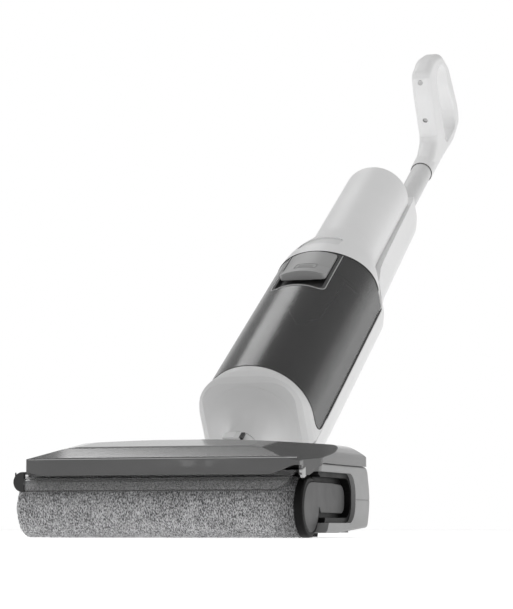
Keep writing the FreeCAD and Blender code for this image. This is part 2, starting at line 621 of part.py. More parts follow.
def riser_pipe():
    """Pipe up the middle of the tank, with the sloped plate that sheds the water."""
    plate = box((-54.0, 54.0), (-1.2, 1.2), (-46.0, 46.0))
    plate.rotate(V(0, 0, 0), V(1, 0, 0), 38.0)
    plate.translate(V(0, -12.0, 372.0))
    plate = plate.common(dirty_tank_volume(WALL + 0.3, 230.0))
    pipe = rod_z(0, -3.0, (TANK_LOW + WALL, 430.0), 13.0)
    pipe = pipe.common(dirty_tank_volume(WALL + 0.1, TANK_LOW + WALL))
    return join(pipe, plate).cut(rod_z(0, -3.0, (TANK_LOW, 431.0), 11.2))


def tank_float():
    puck = rod_z(FLOAT_X, FLOAT_Y, (400.0, 416.0), 9.0)
    return puck.cut(rod_z(FLOAT_X, FLOAT_Y, (399.0, 417.0), 2.6))


def lid_seal():
    outer = dirty_tank_volume(WALL + 0.05, 440.0).common(box((-60.0, 60.0), (-60.0, 30.0), (449.0, 451.8)))
    inner = dirty_tank_volume(WALL + 3.0, 430.0)
    return outer.cut(inner).cut(box((-30.0, 30.0), (-70.0, -30.0), (440.0, 460.0)))


def spine_section(half, front, back, radius):
    return rectangle(half, (front, back), 0.6, radius)


def rear_shell_solid(inset, low, high):
    """Full-length back of the machine, narrowing above the tanks."""
    i = inset
    front = SPLIT_Y + 0.2 + i
    back = SPINE_BACK - i
    sections = [(low, spine_section(BODY_R - i, 24.6 + i, back, 27.0 - i)),
                (505.0, spine_section(BODY_R - i, 24.6 + i, back, 27.0 - i)),
                (525.0, spine_section(53.4 - i, 17.5 + i, back, 27.0 - i)),
                (548.0, spine_section(46.4 - i, 10.5 + i, back - 0.4, 27.0 - i)),
                (575.0, spine_section(42.6 - i, 7.2 + i, back - 0.8, 27.0 - i)),
                (593.0, spine_section(42.3 - i, front, back - 0.9, 27.0 - i)),
                (755.0, spine_section(40.0 - i, front, back - 1.5, 26.0 - i)),
                (788.0, spine_section(33.0 - i, 14.0 + i, back + 0.5, 24.0 - i)),
                (high, spine_section(20.0 - i, 36.0 + i, back + 2.5, 14.0 - i))]
    return loft_z(sections)


def rear_shell():
    shell = rear_shell_solid(0, CAP_LOW, SPINE_TOP)
    rim = [e for e in shell.Edges if e.BoundBox.ZMax < CAP_LOW + 0.01 and e.BoundBox.YMax > 26.0]
    shell = shell.makeFillet(9.0, rim)
    hollow = rear_shell_solid(WALL, CAP_LOW, SPINE_TOP)
    low_room = hollow.common(box((-70.0, 70.0), (0.0, 80.0), (CAP_LOW + 8.0, 256.0)))
    high_room = hollow.common(box((-70.0, 70.0), (0.0, 80.0), (505.0, SPINE_TOP - 18.0)))
    bay = box((-50.0, 50.0), (28.0, 80.0), (CLEAN_LOW - 0.6, CLEAN_TOP + 0.6))
    shell = shell.cut(low_room).cut(high_room).cut(bay)
    socket = rod_z(0, TUBE_Y, (TUBE_LOW - 5.0, SPINE_TOP), TUBE_R + 2.2)
    fade = Part.makeCone(6.0, TUBE_R + 2.2, 60.0, V(0, TUBE_Y, TUBE_LOW - 65.0), V(0, 0, 1))
    fade = fade.common(box((-30.0, 30.0), (SPINE_BACK - 3.5, 90.0), (TUBE_LOW - 70.0, TUBE_LOW)))
    shell = join(shell.cut(box((-31.0, 31.0), (0.0, 21.0), (538.0, 740.0))), socket, fade)
    return shell.cut(rod_z(0, TUBE_Y, (TUBE_LOW, 830.0), TUBE_R))


def upper_shell_solid(inset):
    """Front housing: as wide as the tank at its foot, flaring in to the upper cylinder."""
    i = inset
    foot = rod_z(0, 0, (470.0, 503.0), BODY_R - i)
    foot = join(foot, box((-BODY_R + i, BODY_R - i), (0.0, 24.4), (470.0, 503.0)))
    rings = []
    for s, radius, y in ((503.0, BODY_R, 0.0), (522.0, 53.6, -2.0), (548.0, 44.6, -5.2), (578.0, UPPER_R, UPPER_Y)):
        rings.append(Part.Wire(Part.makeCircle(radius - i, V(0, y, s), V(0, 0, 1))))
    flare = Part.makeLoft(rings, True, False)
    column = rod_z(0, UPPER_Y, (578.0, UPPER_TOP - i), UPPER_R - i)
    if not inset:
        column = column.makeFillet(5.0, [e for e in column.Edges if e.Closed and e.BoundBox.ZMin > 700.0])
    return join(foot, flare, column)


def upper_front_shell():
    shell = upper_shell_solid(0).cut(upper_shell_solid(WALL))
    behind = [(SPLIT_Y, 800.0, 0), (SPLIT_Y, 590.0, 60.0), (10.0, 545.0, 60.0), (24.4, 505.0, 0), (24.4, 470.0, 0),
              (90.0, 470.0, 0), (90.0, 800.0, 0)]
    shell = shell.cut(prism_x(behind, (-80.0, 80.0)))
    below = box((-80.0, 80.0), (-80.0, 80.0), (400.0, 520.0))
    shell = shell.cut(below.cut(rod_y(0, (-80.0, 80.0), TANK_SEAM + SEAM_R, SEAM_R - 0.4)))
    slot = [(-28.0, 507.0, 4.0), (20.0, 507.0, 4.0), (20.0, 529.0, 4.0), (-28.0, 529.0, 4.0)]
    shell = shell.cut(prism_y(slot, (-70.0, -40.0)))
    return shell


def vent_insert():
    back = upper_shell_solid(1.6).cut(upper_shell_solid(3.2))
    face = [(-27.7, 507.3, 3.7), (19.7, 507.3, 3.7), (19.7, 528.7, 3.7), (-27.7, 528.7, 3.7)]
    return back.common(prism_y(face, (-70.0, -40.0)))


def handle_tube():
    tube = rod_z(0, TUBE_Y, (TUBE_LOW, SLEEVE_TOP - 2.0), TUBE_R)
    return tube.cut(rod_z(0, TUBE_Y, (TUBE_LOW - 1.0, SLEEVE_TOP), TUBE_R - 1.4))


def handle_collar():
    """Dark seal between the tube and the grip."""
    ring = rod_z(0, TUBE_Y, (COLLAR_S - 0.8, COLLAR_S + 0.2), SLEEVE_R - 0.4)
    return ring.cut(rod_z(0, TUBE_Y, (COLLAR_S - 7.0, COLLAR_S + 1.0), TUBE_R))


def grip_outline():
    """Side view of the grip, (y, z, radius)."""
    return [(41.0, 958.2, 0), (40.5, 990.0, 30.0), (31.0, 1014.0, 12.0), (-30.0, 1013.5, 60.0),
            (-57.0, 1019.0, 14.0), (-63.0, 1056.0, 50.0), (-54.0, 1100.0, 40.0), (-26.0, 1129.0, 30.0),
            (38.0, 1150.0, 40.0), (62.0, 1146.0, 16.0), (71.0, 1100.0, 80.0), (67.0, 1030.0, 100.0),
            (66.4, 958.2, 0)]


def grip_opening():
    return [(55.5, 1056.0, 12.0), (-40.0, 1056.0, 14.0), (-43.0, 1084.0, 16.0), (-30.0, 1108.0, 12.0),
            (-4.0, 1109.0, 40.0), (34.0, 1126.0, 16.0), (55.5, 1121.0, 16.0)]


def outline_edges(shape):
    """The edges that run round both flat sides of the grip."""
    return [e for e in shape.Edges if e.BoundBox.XLength < 0.01 and abs(e.BoundBox.XMin) > GRIP_HALF - 0.01]


def grip_solid():
    """Loop with well rounded outer edges and a sleeve for the tube."""
    grip = prism_x(grip_outline(), (-GRIP_HALF, GRIP_HALF))
    foot_edges = [e for e in outline_edges(grip) if e.BoundBox.ZMax > 958.3]
    grip = grip.makeFillet(7.5, foot_edges)
    opening = prism_x(grip_opening(), (-20.0, 20.0))
    grip = grip.cut(opening)
    rims = [e for e in outline_edges(grip) if e.BoundBox.ZMin > 1055.0 and inside_grip(e)]
    grip = grip.makeFillet(2.2, rims)
    sleeve = rod_z(0, TUBE_Y, (958.2, SLEEVE_TOP), SLEEVE_R)
    fade = Part.makeCone(SLEEVE_R, 9.0, 34.0, V(0, TUBE_Y, SLEEVE_TOP), V(0, 0, 1))
    grip = join(grip, sleeve, fade)
    return grip.cut(rod_z(0, TUBE_Y, (950.0, SLEEVE_TOP - 2.0), TUBE_R))


def inside_grip(edge):
    """Whether an edge belongs to the loop's opening, not to its outside."""
    middle = edge.BoundBox.Center
    return -44.0 < middle.y < 56.0 and 1055.0 < middle.z < 1126.1


def grip_cover_room(gap):
    """The strip of the grip's front bar that the screwed cover takes."""
    corners = [(-51.0 + gap, 1000.0, 0), (28.0 - gap, 1000.0, 0), (28.0 - gap, 1023.0 - gap, 3.0),
               (-51.0 + gap, 1023.0 - gap, 3.0)]
    return prism_x(corners, (-20.0, 20.0))


def grip_body():
    body = grip_solid().cut(grip_cover_room(0.0))
    for s in BUTTON_PLACES:
        body = body.cut(rod_y(0, (BUTTON_BACK - 1.6, 80.0), s, 5.4))
    for y in SCREW_PLACES:
        body = body.cut(rod_z(0, y, (1020.0, 1034.0), 1.6))
    return body


def grip_cover():
    cover = grip_solid().common(grip_cover_room(0.15))
    for y in SCREW_PLACES:
        cover = cover.cut(rod_z(0, y, (1000.0, 1018.5), 3.3))
        cover = cover.cut(rod_z(0, y, (1010.0, 1030.0), 1.7))
    return cover


def grip_screws():
    screws = []
    for y in SCREW_PLACES:
        head = rod_z(0, y, (1016.6, 1018.5), 3.1)
        head = head.cut(box((-2.0, 2.0), (y - 0.4, y + 0.4), (1016.0, 1017.4)))
        screws.append(join(head, rod_z(0, y, (1018.4, 1033.0), 1.6)))
    return Part.makeCompound(screws)


def grip_button(s, proud):
    """A key in the grip's rear face, which leans outwards towards its top."""
    face = 67.0 + 4.0 * (s - 1030.0) / 70.0 + proud
    stem = rod_y(0, (BUTTON_BACK, face), s, 5.0)
    return stem.makeFillet(0.5, [e for e in stem.Edges if e.Closed and e.BoundBox.YMin > face - 0.01])


def fan_motor():
    can = rod_z(0, UPPER_Y, (600.0, 655.0), 26.0)
    can = can.makeFillet(3.0, [e for e in can.Edges if e.Closed])
    return can.cut(rod_z(0, UPPER_Y, (599.0, 640.0), 3.0 + PIN_PLAY))


def impeller():
    """Fan wheel on the motor's shaft."""
    hub = rod_z(0, UPPER_Y, (576.0, 594.0), 7.0)
    plate = rod_z(0, UPPER_Y, (576.0, 578.5), 28.0)
    shaft = rod_z(0, UPPER_Y, (572.0, 635.0), 3.0)
    blades = []
    for i in range(9):
        blade = box((6.0, 27.5), (-0.8, 0.8), (578.0, 590.0))
        blade.rotate(V(0, 0, 0), V(0, 0, 1), 40.0 * i)
        blade.translate(V(0, UPPER_Y, 0))
        blades.append(blade)
    return join(hub, plate, shaft, *blades)


def fine_filter():
    block = rod_z(0, UPPER_Y, (542.0, 562.0), 27.0)
    return block.cut(rod_z(0, UPPER_Y, (539.0, 561.0), 12.0))


def control_board():
    board = box((-26.0, 26.0), (-12.0, -10.4), (664.0, 732.0))
    chips = [box((x, x + 9.0), (-14.0, -12.0), (s, s + 9.0)) for x in (-18.0, 4.0) for s in (675.0, 700.0)]
    return join(board, *chips)


def battery_pack():
    pack = box((-28.0, 28.0), (22.0, 55.0), (596.0, 692.0))
    return pack.makeFillet(9.0, [e for e in pack.Edges if e.BoundBox.ZLength > 90.0])


def water_pump():
    body = box((-20.0, 20.0), (32.0, 56.0), (214.0, 244.0))
    head = rod_x((20.0, 38.0), 45.0, 229.0, 11.0)
    return join(body, head)


def display_lens():
    return rod_z(0, UPPER_Y, (UPPER_TOP, UPPER_TOP + 0.8), 27.0).common(
        box((-40.0, 40.0), (-60.0, SPLIT_Y - 0.5), (700.0, 800.0)))


def clean_tank_volume(inset):
    i = inset
    corners = rectangle(CLEAN_HALF - i, (28.6 + i, SPINE_BACK - i), 4.0, 12.0)
    return prism_z(corners, (CLEAN_LOW + i, CLEAN_TOP - i))


def clean_water_tank():
    tank = clean_tank_volume(0).cut(clean_tank_volume(2.0))
    scoop = [(-22.0, 455.0, 8.0), (22.0, 455.0, 8.0), (22.0, 480.0, 8.0), (-22.0, 480.0, 8.0)]
    wall = [(-24.0, 453.0, 9.0), (24.0, 453.0, 9.0), (24.0, 482.0, 9.0), (-24.0, 482.0, 9.0)]
    tank = join(tank, prism_y(wall, (SPINE_BACK - 15.0, SPINE_BACK - 1.0)))
    tank = tank.cut(prism_y(scoop, (SPINE_BACK - 13.0, SPINE_BACK + 1.0)))
    return tank.cut(rod_y(0, (SPINE_BACK - 3.0, SPINE_BACK + 1.0), FILL_S, 16.0))


def clean_tank_cap():
    """Plug in the tank's filling hole, with a bar to turn it by."""
    cap = rod_y(0, (SPINE_BACK - 4.5, SPINE_BACK + 0.6), FILL_S, 15.8)
    bar = box((-14.0, 14.0), (SPINE_BACK, SPINE_BACK + 2.4), (FILL_S - 2.5, FILL_S + 2.5))
    return join(cap, bar)


HEAD_NODES = {
    "head_base": head_base, "side_cover_right": side_cover_right, "side_cover_left": side_cover_left,
    "end_recess_liner": end_recess_liner, "inner_deck": inner_deck, "top_cover": top_cover,
    "splash_guard": splash_guard, "cover_latch": cover_latch, "suction_duct": suction_duct,
    "scraper_blade": scraper_blade, "spray_bar": spray_bar, "brush_motor": brush_motor,
    "motor_pulley": motor_pulley, "drive_belt": drive_belt, "drive_pulley": drive_pulley,
    "roller_core": roller_core, "roller_pile": roller_pile, "drive_socket": drive_socket,
    "roller_bearing": roller_bearing, "end_cap": end_cap, "pull_tab": pull_tab,
    "wheel_left": lambda: wheel(-1), "wheel_right": lambda: wheel(1),
    "wheel_axles": wheel_axles,
    "squeegee_strip": squeegee_strip, "charging_contacts": charging_contacts,
    "suction_hose": suction_hose,
}

BODY_NODES = {
    "neck_yoke": neck_yoke, "neck_pins": neck_pins,
    "neck_tube": neck_tube, "neck_shroud": neck_shroud, "lower_cap": lower_cap,
    "dirty_tank": dirty_tank, "latch_bezel": latch_bezel, "tank_latch": tank_latch,
    "latch_spring": latch_spring, "tank_lid": tank_lid, "lid_seal": lid_seal,
    "riser_pipe": riser_pipe, "tank_float": tank_float, "rear_shell": rear_shell, "upper_front_shell": upper_front_shell,
    "vent_insert": vent_insert, "handle_tube": handle_tube, "handle_collar": handle_collar,
    "grip_body": grip_body, "grip_cover": grip_cover, "grip_screws": grip_screws,
    "power_button": lambda: grip_button(BUTTON_PLACES[0], 0.6),
    "mode_button": lambda: grip_button(BUTTON_PLACES[1], 0.6),
    "self_clean_button": lambda: grip_button(BUTTON_PLACES[2], 0.3),
    "fan_motor": fan_motor, "impeller": impeller, "fine_filter": fine_filter,
    "control_board": control_board, "battery_pack": battery_pack, "water_pump": water_pump,
    "display_lens": display_lens, "clean_water_tank": clean_water_tank,
    "clean_tank_cap": clean_tank_cap,
}


def main():
    os.makedirs("parts", exist_ok=True)
    for name, make in HEAD_NODES.items():
        shape = make()
        shape.translate(V(0, -ORIGIN_Y, 0))
        shape.exportStep(f"parts/{name}.step")
    for name, make in BODY_NODES.items():
        shape = make()
        shape.rotate(V(0, 0, 0), V(1, 0, 0), -RECLINE)
        shape.translate(V(0, AXIS_FOOT_Y - ORIGIN_Y, 0))
        shape.exportStep(f"parts/{name}.step")


main()
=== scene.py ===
import json
import math

import bmesh
import bpy
from mathutils import Matrix, Vector, noise
from mathutils.bvhtree import BVHTree


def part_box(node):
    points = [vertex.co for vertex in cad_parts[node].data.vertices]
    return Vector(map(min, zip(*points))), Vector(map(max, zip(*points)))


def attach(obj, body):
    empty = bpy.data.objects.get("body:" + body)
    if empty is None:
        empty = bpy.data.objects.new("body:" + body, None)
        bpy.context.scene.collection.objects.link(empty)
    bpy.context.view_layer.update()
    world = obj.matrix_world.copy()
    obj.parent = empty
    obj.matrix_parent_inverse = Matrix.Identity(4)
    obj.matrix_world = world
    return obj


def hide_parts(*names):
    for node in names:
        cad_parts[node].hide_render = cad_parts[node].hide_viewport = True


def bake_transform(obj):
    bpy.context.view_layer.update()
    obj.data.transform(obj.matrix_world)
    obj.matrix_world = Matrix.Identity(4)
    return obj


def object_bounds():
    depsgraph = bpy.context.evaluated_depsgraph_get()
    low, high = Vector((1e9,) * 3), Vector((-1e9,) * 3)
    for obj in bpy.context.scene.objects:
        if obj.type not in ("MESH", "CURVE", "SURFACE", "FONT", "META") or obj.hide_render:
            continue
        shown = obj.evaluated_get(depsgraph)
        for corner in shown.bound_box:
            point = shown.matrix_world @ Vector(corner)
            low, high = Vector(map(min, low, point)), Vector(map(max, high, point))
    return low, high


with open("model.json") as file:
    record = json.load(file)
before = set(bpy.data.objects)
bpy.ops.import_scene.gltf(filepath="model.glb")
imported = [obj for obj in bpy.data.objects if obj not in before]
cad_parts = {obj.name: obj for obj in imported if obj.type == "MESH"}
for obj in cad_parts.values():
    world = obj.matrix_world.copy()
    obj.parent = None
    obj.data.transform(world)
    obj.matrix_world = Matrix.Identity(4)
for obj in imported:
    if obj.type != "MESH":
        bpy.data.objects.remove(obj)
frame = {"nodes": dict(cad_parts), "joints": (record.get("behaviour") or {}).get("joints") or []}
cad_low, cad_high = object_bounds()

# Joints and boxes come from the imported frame. Lengths are in metres.
# The upright body has its own directions: UP runs along it, FRONT out of its front face. Lengths along it
# (s) count from the point where its axis meets the floor, and lengths of the head (y) from the roller's axis.

JOINTS = {j["name"]: j for j in frame["joints"]}
UP = Vector(JOINTS["float_rise"]["axis"])
FRONT = Vector(JOINTS["neck_swivel"]["axis"])
SIDE = Vector((1, 0, 0))
SWIVEL = Vector(JOINTS["neck_swivel"]["pos_m"])
SWIVEL_S = 0.121         # where the swivel pin is along the body's axis
ROLLER = Vector(JOINTS["roller_spin"]["pos_m"])
HEAD_Y = ROLLER.y

BODY_R = 0.0573          # front radius of the tank and of the body's lower half
PILE_R = 0.0265
TANK_LOW = 0.223         # foot of the dirty-water tank, along the body
TANK_SEAM = 0.4855       # top of the tank at its front
SEAM_R = 0.1016          # radius of the arched seam over it

CAMERA_PLACE = (0.71112, HEAD_Y - 1.88369, 0.00854)
CAMERA_TURN = 18.43      # degrees to the left of straight ahead
CAMERA_RISE = 5.56       # degrees above the horizon
CAMERA_LENS = 135.78     # mm, on a 36 mm long side

LIGHTS = (               # name, place from the machine's middle, two sides, power
    ("key_light", (-1.0, -1.6, 2.6), 1.8, 1.8, 13.0),
    ("fill_light", (2.2, -1.2, 1.6), 1.8, 1.8, 7.5),
    ("strip_light", (-0.62, 0.66, 1.26), 0.60, 0.60, 3.4))
FLOOR_GLOW = 0.55
FLOOR_SIZE = 14.0        # half of its side


def at(x, front, s):
    """A point of the upright body from its side, front and along-axis lengths."""
    return SWIVEL + SIDE * x + FRONT * front + UP * (s - SWIVEL_S)


def head(x, y, z):
    """A point of the floor head, y counted from the roller's axis."""
    return Vector((x, HEAD_Y + y, z))


# Materials, each one a node tree of its own

def new_material(name, roughness=0.4, metallic=0.0, **sockets):
    material = bpy.data.materials.new(name)
    material.use_nodes = True
    shader = material.node_tree.nodes["Principled BSDF"]
    shader.inputs["Roughness"].default_value = roughness
    shader.inputs["Metallic"].default_value = metallic
    for key, value in sockets.items():
        shader.inputs[key.replace("_", " ")].default_value = value
    return material, material.node_tree, shader


def add_node(tree, kind, **values):
    node = tree.nodes.new(kind)
    for key, value in values.items():
        key = key.replace("_", " ") if key[0].isupper() else key
        if key in node.inputs:
            node.inputs[key].default_value = value
        else:
            setattr(node, key, value)
    return node


def object_coords(tree, stretch=(1, 1, 1)):
    coords = add_node(tree, "ShaderNodeTexCoord")
    mapping = add_node(tree, "ShaderNodeMapping")
    mapping.inputs["Scale"].default_value = stretch
    tree.links.new(coords.outputs["Object"], mapping.inputs["Vector"])
    return mapping.outputs["Vector"]


def noise_ramp(tree, scale, low, high, detail=4.0, stretch=(1, 1, 1), limits=(0.3, 0.7)):
    """Noise through a ramp from one value or colour to another."""
    texture = add_node(tree, "ShaderNodeTexNoise", Scale=scale, Detail=detail)
    tree.links.new(object_coords(tree, stretch), texture.inputs["Vector"])
    ramp = add_node(tree, "ShaderNodeValToRGB")
    for element, place, colour in zip(ramp.color_ramp.elements, limits, (low, high)):
        element.position = place
        element.color = (colour, colour, colour, 1) if isinstance(colour, float) else (*colour, 1)
    tree.links.new(texture.outputs["Fac"], ramp.inputs["Fac"])
    return ramp.outputs["Color"], texture.outputs["Fac"]


def add_bump(tree, shader, height, strength, distance=0.0002):
    bump = add_node(tree, "ShaderNodeBump", Strength=strength, Distance=distance)
    tree.links.new(height, bump.inputs["Height"])
    tree.links.new(bump.outputs["Normal"], shader.inputs["Normal"])


def plastic(name, low, high, roughness, grain=900.0, bump=0.06, coat=0.0, spread=0.04, specular=0.5):
    """Moulded plastic: faint mottling, a fine spark-eroded grain and a roughness that wanders."""
    material, tree, shader = new_material(name, roughness, Coat_Weight=coat, Coat_Roughness=0.12,
                                          Specular_IOR_Level=specular)
    colour, _ = noise_ramp(tree, 14.0, low, high, 5.0)
    tree.links.new(colour, shader.inputs["Base Color"])
    rough, _ = noise_ramp(tree, 60.0, roughness - spread, roughness + spread, 3.0)
    tree.links.new(rough, shader.inputs["Roughness"])
    _, fine = noise_ramp(tree, grain, 0.0, 1.0, 2.0)
    add_bump(tree, shader, fine, bump)
    return material


def smoked(name, tint, roughness, clearness, smear=0.02, **sockets):
    """Tinted clear plastic with faint polishing marks."""
    material, tree, shader = new_material(name, roughness, IOR=1.46, Transmission_Weight=clearness, **sockets)
    colour, _ = noise_ramp(tree, 9.0, tint * 0.93, tint * 1.07, 3.0)
    tree.links.new(colour, shader.inputs["Base Color"])
    rough, _ = noise_ramp(tree, 30.0, roughness, roughness + smear, 4.0)
    tree.links.new(rough, shader.inputs["Roughness"])
    return material


def metal(name, low, high, roughness, stretch=(1, 1, 1), scale=700.0, metallic=1.0):
    material, tree, shader = new_material(name, roughness, metallic)
    colour, lines = noise_ramp(tree, scale, low, high, 3.0, stretch)
    tree.links.new(colour, shader.inputs["Base Color"])
    add_bump(tree, shader, lines, 0.08, 0.0001)
    return material


def pile_material():
    """Salt-and-pepper microfibre, light and dark fibres together, with painted shade darkening it near its
    right end.
    """
    strand_share = 0.84
    cloud_share = 0.16
    material, tree, shader = new_material("pile", 0.95, Sheen_Weight=0.3, Sheen_Roughness=0.6)
    strands = add_node(tree, "ShaderNodeTexNoise", Scale=1250.0, Detail=2.0)
    tree.links.new(object_coords(tree, (1.0, 0.42, 0.42)), strands.inputs["Vector"])
    cloud = add_node(tree, "ShaderNodeTexNoise", Scale=120.0, Detail=4.0)
    tree.links.new(object_coords(tree), cloud.inputs["Vector"])
    mix = add_node(tree, "ShaderNodeMath", operation="MULTIPLY_ADD")
    mix.inputs[1].default_value = strand_share
    tree.links.new(strands.outputs["Fac"], mix.inputs[0])
    shade = add_node(tree, "ShaderNodeMath", operation="MULTIPLY")
    shade.inputs[1].default_value = cloud_share
    tree.links.new(cloud.outputs["Fac"], shade.inputs[0])
    tree.links.new(shade.outputs[0], mix.inputs[2])
    ramp = add_node(tree, "ShaderNodeValToRGB")
    ramp.color_ramp.elements[0].position = 0.40
    ramp.color_ramp.elements[0].color = (0.07, 0.07, 0.072, 1)
    ramp.color_ramp.elements[1].position = 0.62
    ramp.color_ramp.elements[1].color = (0.62, 0.62, 0.63, 1)
    tree.links.new(mix.outputs[0], ramp.inputs["Fac"])
    split = add_node(tree, "ShaderNodeSeparateXYZ")
    tree.links.new(object_coords(tree), split.inputs["Vector"])
    # Painted shade: the colour darkens towards the pile's right end, next to the end disc.
    right_end_painted_shade = add_node(tree, "ShaderNodeMapRange", From_Min=0.100, From_Max=0.126, To_Min=1.0, To_Max=0.35)
    tree.links.new(split.outputs["X"], right_end_painted_shade.inputs["Value"])
    shaded = add_node(tree, "ShaderNodeVectorMath", operation="SCALE")
    tree.links.new(ramp.outputs["Color"], shaded.inputs["Vector"])
    tree.links.new(right_end_painted_shade.outputs["Result"], shaded.inputs["Scale"])
    tree.links.new(shaded.outputs["Vector"], shader.inputs["Base Color"])
    add_bump(tree, shader, mix.outputs[0], 0.6, 0.0008)
    return material


def filter_material():
    material, tree, shader = new_material("filter_felt", 0.95)
    colour, height = noise_ramp(tree, 380.0, 0.62, 0.82, 6.0)
    tree.links.new(colour, shader.inputs["Base Color"])
    add_bump(tree, shader, height, 0.5, 0.0005)
    return material


WHITE = plastic("white_satin_plastic", 0.80, 0.83, 0.44)
# A darker copy of the white plastic for the lower cap and neck shroud: painted shade for the down-facing cap.
CAP_WHITE_PAINTED_SHADE = plastic("white_cap_painted_shade", 0.70, 0.73, 0.46)
WHITE_MATT = plastic("white_fine_grain_plastic", 0.72, 0.76, 0.5, 1200.0, 0.12)
PALE = plastic("pale_grey_plastic", 0.42, 0.46, 0.38, coat=0.2)
KEY_GREY = plastic("key_grey_plastic", 0.33, 0.37, 0.42)
JET = plastic("jet_black_plastic", 0.004, 0.006, 0.45, specular=0.12)
SIDE_GREY = plastic("side_grey_plastic", 0.27, 0.30, 0.42)
BLACK = plastic("black_satin_plastic", 0.012, 0.018, 0.38, coat=0.1)
DARK = plastic("dark_grey_plastic", 0.045, 0.06, 0.42)
DISC = plastic("charcoal_plastic", 0.06, 0.075, 0.4, specular=0.25)
INNER = plastic("inner_grey_plastic", 0.13, 0.17, 0.5)
RUBBER = plastic("soft_rubber", 0.018, 0.03, 0.7, 500.0, 0.2)
TYRE = plastic("tyre_rubber", 0.03, 0.045, 0.75, 400.0, 0.25)
TANK_SMOKE = smoked("smoked_tank", 0.12, 0.24, 0.90, Specular_IOR_Level=0.4)
COVER_SMOKE = smoked("smoked_cover", 0.20, 0.08, 0.50, Specular_IOR_Level=0.30)
CLEAR = smoked("clear_lip", 0.72, 0.03, 0.97)
WATER_TANK = smoked("frosted_tank", 0.55, 0.28, 0.8)
STEEL = metal("brushed_steel", 0.48, 0.58, 0.3, (0.05, 1, 1))
SATIN_TUBE = metal("satin_tube", 0.68, 0.72, 0.48, (1, 0.2, 0.2), 300.0, 0.1)
FROST = smoked("frosted_strut", 0.85, 0.30, 0.5)
BRASS = metal("brass", (0.62, 0.48, 0.22), (0.72, 0.56, 0.28), 0.3)
GLOSS_BLACK = plastic("gloss_black_plastic", 0.010, 0.014, 0.12, 400.0, 0.01, 0.6, 0.02)
PILE = pile_material()
FELT = filter_material()
BOARD = plastic("circuit_board", (0.02, 0.09, 0.05), (0.03, 0.12, 0.07), 0.4)

CAD_LOOKS = {
    CAP_WHITE_PAINTED_SHADE: "lower_cap neck_shroud",
    WHITE: "rear_shell upper_front_shell grip_body grip_cover",
    WHITE_MATT: "neck_tube vent_insert",
    KEY_GREY: "tank_latch",
    JET: "end_recess_liner end_cap",
    PALE: "clean_tank_cap power_button mode_button self_clean_button cover_latch",
    SIDE_GREY: "side_cover_right side_cover_left neck_yoke tank_lid",
    DARK: "head_base inner_deck latch_bezel drive_socket drive_pulley roller_core fan_motor impeller "
          "water_pump",
    BLACK: "handle_collar display_lens battery_pack tank_float",
    INNER: "suction_duct spray_bar riser_pipe",
    DISC: "pull_tab",
    RUBBER: "scraper_blade drive_belt squeegee_strip lid_seal suction_hose",
    TYRE: "wheel_left wheel_right",
    TANK_SMOKE: "dirty_tank",
    COVER_SMOKE: "top_cover",
    CLEAR: "splash_guard",
    WATER_TANK: "clean_water_tank",
    STEEL: "brush_motor wheel_axles neck_pins grip_screws latch_spring motor_pulley roller_bearing",
    SATIN_TUBE: "handle_tube",
    BRASS: "charging_contacts",
    FELT: "fine_filter",
    BOARD: "control_board",
}


def dress_cad():
    for material, names in CAD_LOOKS.items():
        for name in names.split():
            mesh = frame["nodes"][name].data
            mesh.materials.clear()
            mesh.materials.append(material)


# Mesh helpers

def make_piece(name, points, faces, material, body, smooth=True):
    mesh = bpy.data.meshes.new(name)
    mesh.from_pydata([tuple(p) for p in points], [], faces)
    mesh.validate()
    work = bmesh.new()
    work.from_mesh(mesh)
    bmesh.ops.recalc_face_normals(work, faces=work.faces)
    work.to_mesh(mesh)
    work.free()
    for polygon in mesh.polygons:
        polygon.use_smooth = smooth
    piece = bpy.data.objects.new(name, mesh)
    bpy.context.scene.collection.objects.link(piece)
    mesh.materials.append(material)
    if body:
        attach(piece, body)
    return piece


def grid_faces(rows, columns, close_rows=False, close_columns=False):
    faces = []
    for i in range(rows if close_rows else rows - 1):
        for j in range(columns if close_columns else columns - 1):
            i2 = (i + 1) % rows
            j2 = (j + 1) % columns
            faces.append((i * columns + j, i * columns + j2, i2 * columns + j2, i2 * columns + j))
    return faces


def tube_points(path, radius, sides, closed=False):
    """Rings of points round a path of points."""
    points = []
    count = len(path)
    normal = None
    for i, here in enumerate(path):
        before = path[(i - 1) % count] if closed or i else path[0]
        after = path[(i + 1) % count] if closed or i < count - 1 else path[-1]
        along = (after - before).normalized()
        if normal is None:
            normal = along.orthogonal().normalized()
        normal = (normal - along * normal.dot(along)).normalized()
        other = along.cross(normal)
        size = radius[i] if isinstance(radius, list) else radius
        for k in range(sides):
            turn = 2 * math.pi * k / sides
            points.append(here + (normal * math.cos(turn) + other * math.sin(turn)) * size)
    return points


def bead(name, path, radius, material, body, closed=False, sides=10):
    """A round bead along a path, with rounded ends when it is open."""
    path = [Vector(p) for p in path]
    if not closed:
        first = (path[0] - path[1]).normalized()
        last = (path[-1] - path[-2]).normalized()
        path = [path[0] + first * radius * 0.5] + path + [path[-1] + last * radius * 0.5]
        sizes = [radius * 0.3] + [radius] * (len(path) - 2) + [radius * 0.3]
        points = tube_points(path, sizes, sides)
    else:
        points = tube_points(path, radius, sides, True)
    faces = grid_faces(len(path), sides, closed, True)
    if not closed:
        faces.append(tuple(range(sides)))
        faces.append(tuple(range(len(points) - sides, len(points))))
    return make_piece(name, points, faces, material, body)


def lathe(name, profile, origin, axis, material, body, sides=64):
    """A turned piece from (radius, along) points."""
    axis = Vector(axis).normalized()
    normal = axis.orthogonal().normalized()
    other = axis.cross(normal)
    points = []
    for radius, along in profile:
        for k in range(sides):
            turn = 2 * math.pi * k / sides
            points.append(origin + axis * along + (normal * math.cos(turn) + other * math.sin(turn)) * radius)
    faces = grid_faces(len(profile), sides, False, True)
    faces.append(tuple(range(sides)))
    faces.append(tuple(range(len(points) - sides, len(points))))
    return make_piece(name, points, faces, material, body)


